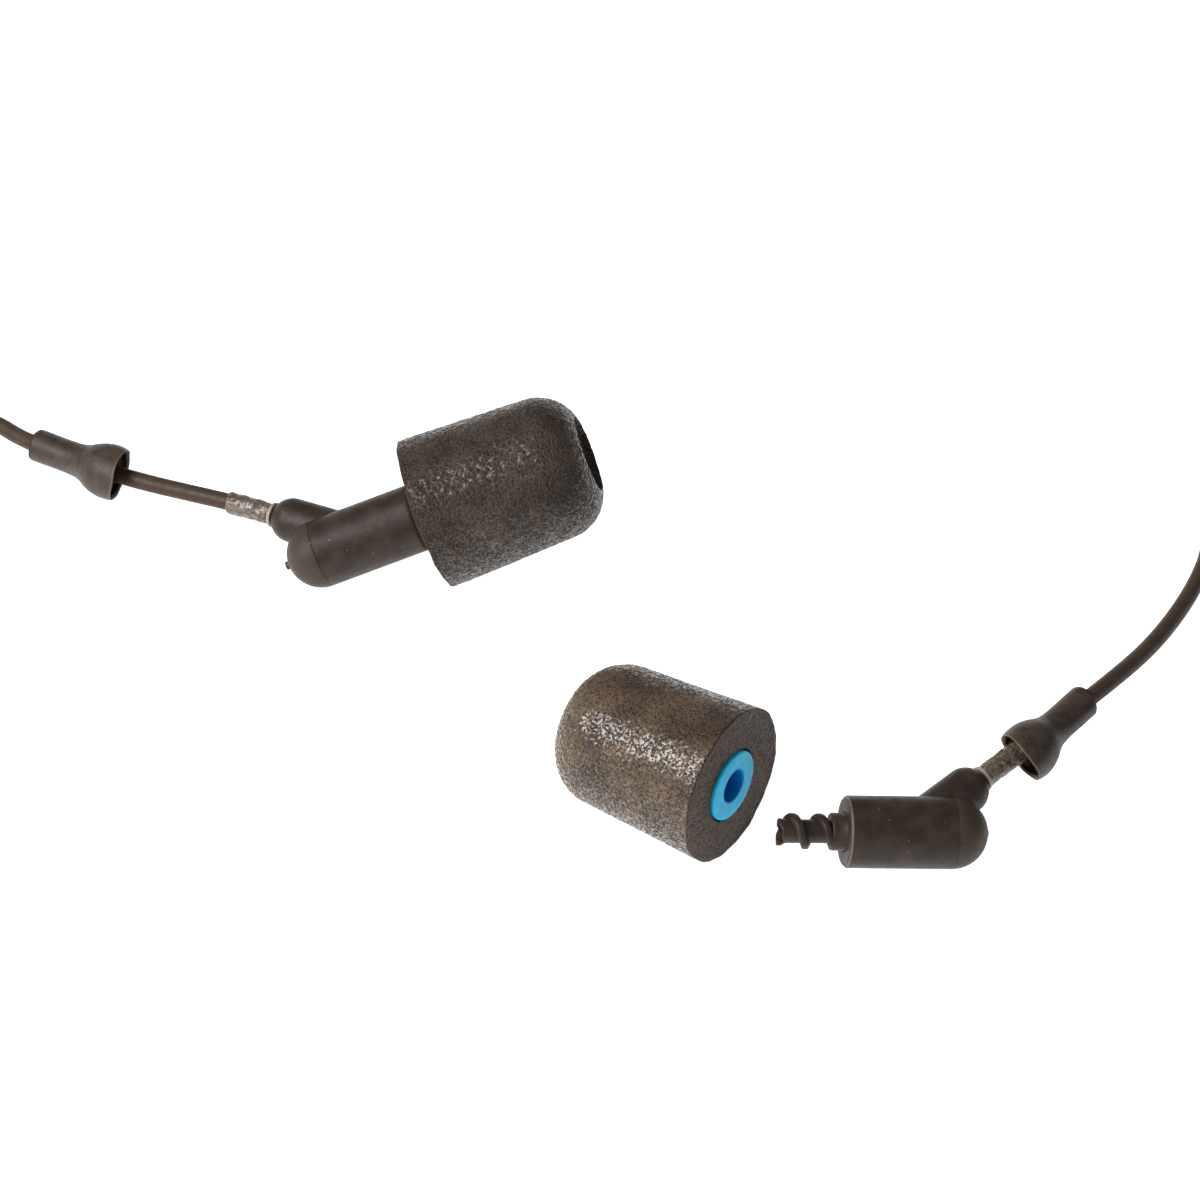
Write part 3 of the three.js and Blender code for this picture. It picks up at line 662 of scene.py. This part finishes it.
def makeNozzle(side):
    n = nozzle
    place = frameOf(housings[side])
    front = barrel["front"]
    seat = front - barrel["frontWall"] - 0.15
    top = front + n["length"]
    stem = turned(side + "NozzleStem", softened([
        (n["bore"], seat - 0.5), (n["flange"], seat - 0.5), (n["flange"], seat), (n["collar"], seat),
        (n["collar"], front + n["collarLength"], 0.22), (n["stem"], front + n["collarLength"], 0.12),
        (n["stem"], top - 0.8), (n["stem"], top - 0.4), (n["stem"], top, 0.1), (n["bore"], top, 0.08),
        (n["bore"], top - 0.5), (n["bore"], top - 0.9),
    ]), place, 64, nozzleSurface)
    dress(stem, finishes["housing_plastic"], "root", [side + "_nozzle"])
    steps = 40
    rings = []
    count = int(n["turns"] * steps)
    for i in range(count + 1):
        turn = i / steps
        angle = math.radians(n["startAngle"]) - 2 * math.pi * turn
        height = top - n["inset"] - n["pitch"] * turn
        fade = smooth(min(i / 6 + 0.35, (count - i) / 10))
        crest = n["stem"] - 0.05 + (n["crest"] - n["stem"] + 0.05) * fade
        section = [(n["stem"] - 0.12, -0.52), (n["stem"] + 0.1, -0.44), (crest - 0.07, -0.3),
                   (crest, -0.18), (crest + 0.01, 0.0), (crest, 0.16), (crest - 0.07, 0.28),
                   (n["stem"] + 0.1, 0.4), (n["stem"] - 0.12, 0.46)]
        ring = []
        for r, dz in section:
            z = min(height + dz, top - 0.01)
            r = min(r, max(crest, n["stem"] - 0.04)) * (1 + 0.012 * noise.noise(Vector((angle, z, 1))))
            ring.append(Vector((r * math.cos(angle), r * math.sin(angle), z)))
        rings.append(ring)
    thread = swept(side + "NozzleThread", rings, place)
    dress(thread, finishes["housing_plastic"], "root")


for side in housings:
    makeHousing(side)
    makeNozzle(side)
print("housings made")


# ---- ear tips ----

tip = {
    "base": 6.75, "front": {"left": 6.34, "right": 6.14}, "corner": 3.9, "length": 15.2,
    "bore": 3.2, "mouth": 3.4, "back": 9.85, "depth": 2.2,
    "lip": {"left": 0.72, "right": 0.0}, "lipWidth": 1.2,
}
# sizes of the foam's pits, grain and swells, and how far each lifts the surface
foamSkin = {
    "pitSize": 0.42, "pit": 0.075, "pitMiddle": 0.45, "grainSize": 0.5, "grain": 0.03,
    "swellSize": 5.5, "swell": 0.06, "sunk": 0.03,
    "ragged": 0.1, "raggedWidth": 0.5, "raggedSize": 1.3, "raggedRise": 1.6,
}
core = {"bore": {"left": 1.6, "right": 1.42}, "radius": 3.05, "length": 10.5, "back": 9.65}


def foamSurface(r, z, angle, side):
    # pits all over, slow swells, and a torn edge where the foam was cut
    t, f = tip, foamSkin
    seat = Vector((r * math.cos(angle), r * math.sin(angle), z))
    radial = Vector((math.cos(angle), math.sin(angle), 0))
    outward = radial
    shoulder = t["back"] + t["length"] - t["corner"]
    centre = t["front"][side] - t["corner"]
    # round the bore the left foam reaches back to the barrel
    onBack = z < t["back"] + 0.02
    lip = t["lip"][side] * smooth(1 - (r - t["bore"]) / t["lipWidth"]) if onBack else 0
    if z > shoulder and r > t["bore"] + 0.1:
        outward = (radial * max(r - centre, 0.01) + Vector((0, 0, z - shoulder))).normalized()
    if onBack and r < t["base"] - 0.4:
        outward = Vector((0, 0, -1))
    if r < t["bore"] + 0.05:
        return seat - Vector((0, 0, lip))
    near = noise.voronoi(seat / f["pitSize"])[0][0]
    rough = (near - f["pitMiddle"]) * f["pit"] + noise.noise(seat / f["grainSize"]) * f["grain"]
    swell = noise.noise(seat / f["swellSize"] + Vector((4, 9, 2))) * f["swell"]
    moved = seat + outward * (rough + swell - f["sunk"]) - Vector((0, 0, lip))
    nearBack, nearRim = abs(z - t["back"]), abs(r - t["base"])
    edge = max(0.0, 1 - nearBack / f["raggedWidth"]) * max(0.0, 1 - nearRim / f["raggedWidth"])
    if edge > 0:
        moved += radial * noise.noise(seat / f["raggedSize"]) * f["ragged"] * edge
        moved.z += noise.noise(seat / f["raggedRise"] + Vector((3, 3, 3))) * f["ragged"] * edge
    return moved


def makeTip(side, place, foamBody, coreBody):
    t = tip
    shoulder = t["back"] + t["length"] - t["corner"]
    centre = t["front"][side] - t["corner"]
    lip = math.degrees(math.acos((t["mouth"] - centre) / t["corner"]))
    outline = [(t["bore"], t["back"]), (t["base"], t["back"])]
    outline += arcOf(centre, shoulder, t["corner"], 0, lip, 30)
    outline += [(t["bore"] + 0.05, shoulder + t["depth"] + 0.6), (t["bore"], shoulder + t["depth"])]
    foam = turned(side + "FoamTip", finely(outline, 0.16), place, 264,
                  lambda point, r, z, angle: foamSurface(r, z, angle, side))
    dress(foam, foamFinishes[side], foamBody, [side + "_foam_tip"])
    c = core
    outline = softened([
        (c["bore"][side], c["back"], 0.16), (c["radius"], c["back"], 0.22),
        (c["radius"], c["back"] + c["length"], 0.2), (c["bore"][side], c["back"] + c["length"], 0.15),
    ])
    sleeve = turned(side + "CoreSleeve", finely(outline, 0.5), place, 80)
    dress(sleeve, finishes["core_blue"], coreBody, [side + "_tip_core"])


makeTip("left", frameOf(housings["left"]), "left_foam", "left_core")
loosePlace = frameOf(looseTip) @ Matrix.Translation((0, 0, -tip["back"]))
makeTip("right", loosePlace, "right_tip", "right_tip")
print("ear tips made")


# ---- seals, glue sleeves and strain boots ----

seal = {"bore": 0.8, "radius": 1.14, "from": 8.4, "to": 8.75}
glue = {"bore": 0.8, "radius": 0.96, "length": 4.2, "from": 8.8, "crinkle": 0.1}
crinkles = {"foldWidth": 0.5, "foldLength": 0.8, "ridgeWidth": 0.3, "ridgeLength": 0.35, "shift": 0.1}
boot = {
    "length": 9.4, "bore": 1.25, "mouthBore": 2.1, "cupDepth": 1.3, "cupLength": 3.3, "cut": 0.12,
    "middle": 5, "cutReach": 1.2, "wobble": 0.015, "slantShift": 0.15, "slantReach": 3.6,
    "skin": [
        (2.33, 0.0), (2.43, 0.5), (2.47, 1.1), (2.42, 1.9),
        (2.18, 2.8), (1.78, 3.7), (1.52, 4.7), (1.46, 9.4),
    ],
}
# long is the side that the mouth reaches furthest on, in degrees; slant is how far its cut leans
boots = {
    "left": {
        "mouth": (-0.04383, 0.0246, 0.00252), "end": (-0.05148, 0.02971, 0.0015),
        "long": 47, "slant": 0.85,
    },
    "right": {
        "mouth": (0.03292, -0.01205, 0.0041), "end": (0.03877, -0.00469, 0.00353),
        "long": 125, "slant": 1.15,
    },
}


def glueSurface(point, r, z, angle):
    if r < glue["bore"] + 0.05:
        return point
    c = crinkles
    fold = noise.noise(Vector((point.x / c["foldWidth"], point.y / c["foldWidth"], z / c["foldLength"])))
    seat = Vector((point.x / c["ridgeWidth"], point.y / c["ridgeWidth"], z / c["ridgeLength"]))
    grow = 1 + glue["crinkle"] * (fold * 0.8 + abs(noise.noise(seat)) - 0.15)
    return Vector((point.x * grow, point.y * grow, z + fold * c["shift"]))


def bootSurface(point, z, angle, facts):
    # both ends were cut by hand, so neither is quite flat, and the mouth is cut at a slant
    near = max(0.0, 1 - z / boot["slantReach"]) ** 2
    reach = math.hypot(point.x, point.y) / boot["mouthBore"]
    lean = facts["slant"] * reach * math.cos(angle - math.radians(facts["long"]))
    slant = (boot["slantShift"] - lean) * near
    # each end has its own unevenness
    seed = Vector((math.cos(angle) * 1.3, math.sin(angle) * 1.3, 5 if z > boot["middle"] else 0))
    end = smooth(1 - min(z, boot["length"] - z) / boot["cutReach"])
    wobble = 1 + boot["wobble"] * noise.noise(Vector((math.cos(angle), math.sin(angle), z / 2)))
    rise = slant + noise.noise(seed) * boot["cut"] * 2 * end
    return Vector((point.x * wobble, point.y * wobble, z + rise))


def makeFittings(side):
    place = armFrame(side)
    s = seal
    outline = softened([
        (s["bore"], s["from"], 0.04), (s["radius"], s["from"], 0.12), (s["radius"] - 0.06, s["to"], 0.14),
        (s["bore"], s["to"], 0.04),
    ])
    bead = turned(side + "SealBead", outline, place, 48)
    g = glue
    outline = softened([
        (g["bore"], g["from"]), (g["radius"] - 0.02, g["from"], 0.08),
        (g["radius"], g["from"] + g["length"], 0.1), (g["bore"], g["from"] + g["length"]),
    ])
    skin = turned(side + "GlueSleeve", finely(outline, 0.12), place, 64, glueSurface)
    dress(bead, finishes["clear_glue"], "root", [side + "_cord_seal"])
    dress(skin, finishes["clear_glue"], "root", [side + "_cord_sleeve"])

    b, facts = boot, boots[side]
    skinLine = [tuple(p)[:2] for p in through([(r, z, 0) for r, z in b["skin"]], 5)]
    outline = skinLine + softened([
        (b["bore"], b["length"], 0.08), (b["bore"], b["cupLength"], 0.3),
        (b["mouthBore"], b["cupDepth"], 0.5), (b["mouthBore"], 0.0, 0.06),
    ])
    cover = turned(side + "StrainBoot", finely(outline, 0.3), spanFrame(facts["mouth"], facts["end"]), 72,
                   lambda point, r, z, angle: bootSurface(point, z, angle, facts))
    dress(cover, finishes["boot_rubber"], side + "_boot", [side + "_strain_boot"])
    return [bead, skin, cover]


fittings = {side: makeFittings(side) for side in housings}
print("boots and sleeves made")


# ---- splitter, slider, ties and plug ----

splitter = {
    "at": (0.06475, -0.03559), "width": 6.2, "height": 4.4, "length": 12, "waist": 0.25,
    "pitch": 2.6, "hole": 0.88, "mainHole": 1.02, "socket": 3,
}
slider = {
    "at": (0.06475, -0.04409), "width": 6.6, "height": 4.4, "length": 5.5, "waist": -0.15,
    "pitch": 2.6, "hole": 0.98,
}


def blockRings(width, height, length, corner, edge=0.5, waist=0.0):
    rings = []
    for y, inset in [(0, edge), (edge * 0.3, edge * 0.3), (edge, 0)] + \
            [(edge + (length - 2 * edge) * k / 8, 0) for k in range(1, 8)] + \
            [(length - edge, 0), (length - edge * 0.3, edge * 0.3), (length, edge)]:
        pull = inset + waist * math.sin(math.pi * y / length)
        w, h = width / 2 - pull, height / 2 - inset
        c = min(corner, w - 0.1, h - 0.1)
        ring = []
        for quarter, (sx, sz) in enumerate(((1, 1), (-1, 1), (-1, -1), (1, -1))):
            for k in range(9):
                a = math.radians(90 * quarter + 90 * k / 8)
                x, z = sx * (w - c) + c * math.cos(a), sz * (h - c) + c * math.sin(a)
                ring.append(Vector((x, y, height / 2 + z)))
        rings.append(ring)
    return rings


def drilled(item, holes):
    # holes are (x, z, radius, from y, to y) in the block's own millimetres
    block = Matrix.Translation(item["corner"]) @ Matrix.Scale(mm, 4)
    for x, z, radius, start, end in holes:
        outline = [(0, start), (radius, start), (radius, end), (0, end)]
        turn = Matrix.Rotation(-math.pi / 2, 4, "X")
        cutter = turned("drill", outline, block @ Matrix.Translation((x, 0, z)) @ turn, 32)
        cut = item.modifiers.new("hole", "BOOLEAN")
        cut.operation, cut.object, cut.solver = "DIFFERENCE", cutter, "EXACT"
        mesh = bpy.data.meshes.new_from_object(item.evaluated_get(bpy.context.evaluated_depsgraph_get()))
        item.modifiers.clear()
        old = item.data
        item.data = mesh
        bpy.data.meshes.remove(old)
        bpy.data.objects.remove(cutter)
    item.data.shade_smooth()
    item.data.set_sharp_from_angle(angle=math.radians(38))
    del item["corner"]


def makeBlock(name, facts, holes, body, node):
    corner = Vector((*facts["at"], 0))
    place = Matrix.Translation(corner) @ Matrix.Scale(mm, 4)
    rings = blockRings(facts["width"], facts["height"], facts["length"], 1.5, waist=facts["waist"])
    block = swept(name, rings, place)
    block["corner"] = corner
    drilled(block, holes)
    return dress(block, finishes["housing_plastic"], body, [node])


def sideHoles(facts, start, end):
    middle, apart = facts["height"] / 2, facts["pitch"] / 2
    return [(x, middle, facts["hole"], start, end) for x in (-apart, apart)]


mainSocket = (0, splitter["height"] / 2, splitter["mainHole"], splitter["length"] - splitter["socket"], 13)
splitterHoles = sideHoles(splitter, -1, splitter["socket"]) + [mainSocket]
split = makeBlock("cordSplitter", splitter, splitterHoles, "root", "y_splitter")
slide = makeBlock("chinSlider", slider, sideHoles(slider, -1, 7), "slider", "chin_slider")

tie = {"width": 3.2, "thickness": 0.4, "bevel": 0.08, "squareness": 0.45, "corners": 48}
tieBoxes = {
    "armCoilTie": {"at": armCoil["at"], "box": (6.85, 9.15, 0.5, 6.3), "node": "arm_coil_tie"},
    "mainCoilTie": {"at": mainCoil["at"], "box": (5.9, 13.95, 0.5, 10.35), "node": "main_coil_tie"},
}


def makeTie(name, facts):
    # a strap round the bundle of turns, at the coil's +Y side
    inner, outer, low, high = facts["box"]
    middle, half = (inner + outer) / 2, (outer - inner) / 2
    width, power, corners = tie["width"] / 2, tie["squareness"], tie["corners"]
    narrow = width - tie["bevel"]
    rings = []
    for k in range(corners):
        a = 2 * math.pi * k / corners
        along = Vector((math.cos(a), math.sin(a)))
        y = middle + half * math.copysign(abs(along.x) ** power, along.x)
        z = (low + high) / 2 + (high - low) / 2 * math.copysign(abs(along.y) ** power, along.y)
        grow = along * tie["thickness"]
        rings.append([Vector((-width, y, z)), Vector((width, y, z)),
                      Vector((narrow, y + grow.x, z + grow.y)), Vector((-narrow, y + grow.x, z + grow.y))])
    size = len(rings[0])
    faces = []
    for i in range(corners):
        j = (i + 1) % corners
        for k in range(size):
            n = (k + 1) % size
            faces.append((i * size + k, i * size + n, j * size + n, j * size + k))
    place = Matrix.Translation((*facts["at"], 0)) @ Matrix.Scale(mm, 4)
    strap = makeMesh(name, [p for ring in rings for p in ring], faces, place)
    strap.data.set_sharp_from_angle(angle=math.radians(40))
    return dress(strap, finishes["tie_strap"], "root", [facts["node"]])


ties = {name: makeTie(name, facts) for name, facts in tieBoxes.items()}

plug = {"at": (0.05275, -0.02579, 0.003), "relief": 6.5, "grip": 11.5, "radius": 3.0, "contact": 1.75}


def makePlug():
    p = plug
    place = Matrix.Translation(p["at"]) @ Matrix.Rotation(math.pi / 2, 4, "X") @ Matrix.Scale(mm, 4)
    outline = [(1.05, 0), (1.5, 0)]
    ribs = 5
    for k in range(ribs):
        z = 0.5 + k * (p["relief"] - 1) / ribs
        r = 1.55 + 0.62 * k / (ribs - 1)
        outline += [(r, z, 0.1), (r, z + 0.75, 0.1), (r - 0.28, z + 0.85, 0.08), (r - 0.28, z + 1.0, 0.08)]
    outline += [(2.2, p["relief"] - 0.3, 0.1), (2.2, p["relief"]), (1.05, p["relief"])]
    pieces = [(turned("plugRelief", softened(outline), place, 56), "boot_rubber", "plug_relief")]
    start = p["relief"] + 0.3
    end = start + p["grip"]
    outline = [(0, start), (p["radius"] - 0.5, start, 0.2), (p["radius"], start + 0.8, 0.3)]
    for k in range(5):
        z = start + 3.2 + k * 1.3
        outline += [(p["radius"], z, 0.05), (p["radius"] - 0.14, z + 0.15, 0.05),
                    (p["radius"] - 0.14, z + 0.4, 0.05), (p["radius"], z + 0.55, 0.05)]
    outline += [(p["radius"], end - 0.5, 0.35), (p["radius"] - 0.5, end, 0.2), (0, end)]
    pieces.append((turned("plugGrip", softened(outline, ring=False), place, 72), "boot_rubber", "plug_grip"))
    contact = end + 0.1
    r = p["contact"]
    bore = 0.58
    outline = softened([
        (bore, contact), (2.4, contact, 0.12), (2.4, contact + 0.8, 0.15), (r, contact + 0.8, 0.06),
        (r, contact + 7.2, 0.05), (bore, contact + 7.2),
    ])
    pieces.append((turned("plugSleeveContact", outline, place, 56), "contact_gold", "plug_sleeve_contact"))
    at = contact + 7.25
    for name, length, slot, node in (
        ("plugRearBand", 0.6, "insulator_black", "plug_rear_insulator"),
        ("plugRingContact", 2.1, "contact_gold", "plug_ring_contact"),
        ("plugFrontBand", 0.6, "insulator_black", "plug_front_insulator"),
    ):
        outline = softened([(bore, at), (r, at, 0.05), (r, at + length, 0.05), (bore, at + length)])
        pieces.append((turned(name, outline, place, 56), slot, node))
        at += length + 0.05
    outline = softened([
        (0, contact + 0.2), (0.5, contact + 0.2), (0.5, contact + 10.7), (r, contact + 10.7, 0.05),
        (r, contact + 11.2, 0.2), (1.15, contact + 12.0, 0.4), (r - 0.15, contact + 12.7, 0.5),
        (1.1, contact + 13.7, 0.5), (0, contact + 14),
    ], ring=False)
    pieces.append((turned("plugTipContact", outline, place, 56), "contact_gold", "plug_tip_contact"))
    return [dress(item, finishes[slot], "root", [node]) for item, slot, node in pieces]


plugPieces = makePlug()
print("splitter, slider, ties and plug made")


# ---- pieces of the frame that stay as they are ----

kept = {
    "acoustic_damper": "damper_mesh", "driver": "driver_can", "driver_gasket": "boot_rubber",
    "solder_board": "board_laminate", "lead_wire_red": "wire_red", "lead_wire_blue": "wire_blue",
}
for side in housings:
    for part, slot in kept.items():
        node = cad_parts[f"{side}_{part}"]
        node.data.materials.clear()
        node.data.materials.append(finishes[slot])


# ---- cord lengths and pieces, worked out here and not kept ----

round(lengthOf(cordLines["left"]), 3)
round(lengthOf(cordLines["right"]), 3)
fittings["right"] + [ties["armCoilTie"]]
round(lengthOf(cordLines["main"]), 3)
plugPieces + [ties["mainCoilTie"], split, slide]


# ---- floor and light ----

studio = {"world": 0.28, "floorGlow": 0.95}
lamps = {
    "key": {"energy": 7.0, "size": 0.36, "at": (-0.46, -0.18, 0.45)},
    "fill": {"energy": 0.5, "size": 0.6, "at": (0.45, -0.4, 0.5)},
}


def makeStudio():
    scene = bpy.context.scene
    scene.view_settings.view_transform = "Standard"
    world = bpy.data.worlds.new("studio")
    world.use_nodes = True
    world.node_tree.nodes["Background"].inputs["Color"].default_value = (1, 1, 1, 1)
    world.node_tree.nodes["Background"].inputs["Strength"].default_value = studio["world"]
    scene.world = world
    bpy.ops.mesh.primitive_plane_add(size=6, location=(0, 0, -0.00003))
    floor = bpy.context.object
    floor.name = "floor"
    pale = Finish("paleFloor", {
        "Base Color": (0.85, 0.85, 0.85, 1), "Roughness": 0.9, "Specular IOR Level": 0.1,
        "Emission Color": (1, 1, 1, 1), "Emission Strength": studio["floorGlow"]})
    floor.data.materials.append(pale.material)
    for name, facts in lamps.items():
        data = bpy.data.lights.new(name, "AREA")
        data.energy, data.size = facts["energy"], facts["size"]
        lamp = bpy.data.objects.new(name, data)
        lamp.location = facts["at"]
        lamp.rotation_euler = Vector(facts["at"]).to_track_quat("Z", "Y").to_euler()
        bpy.context.collection.objects.link(lamp)


makeStudio()
print("studio made")
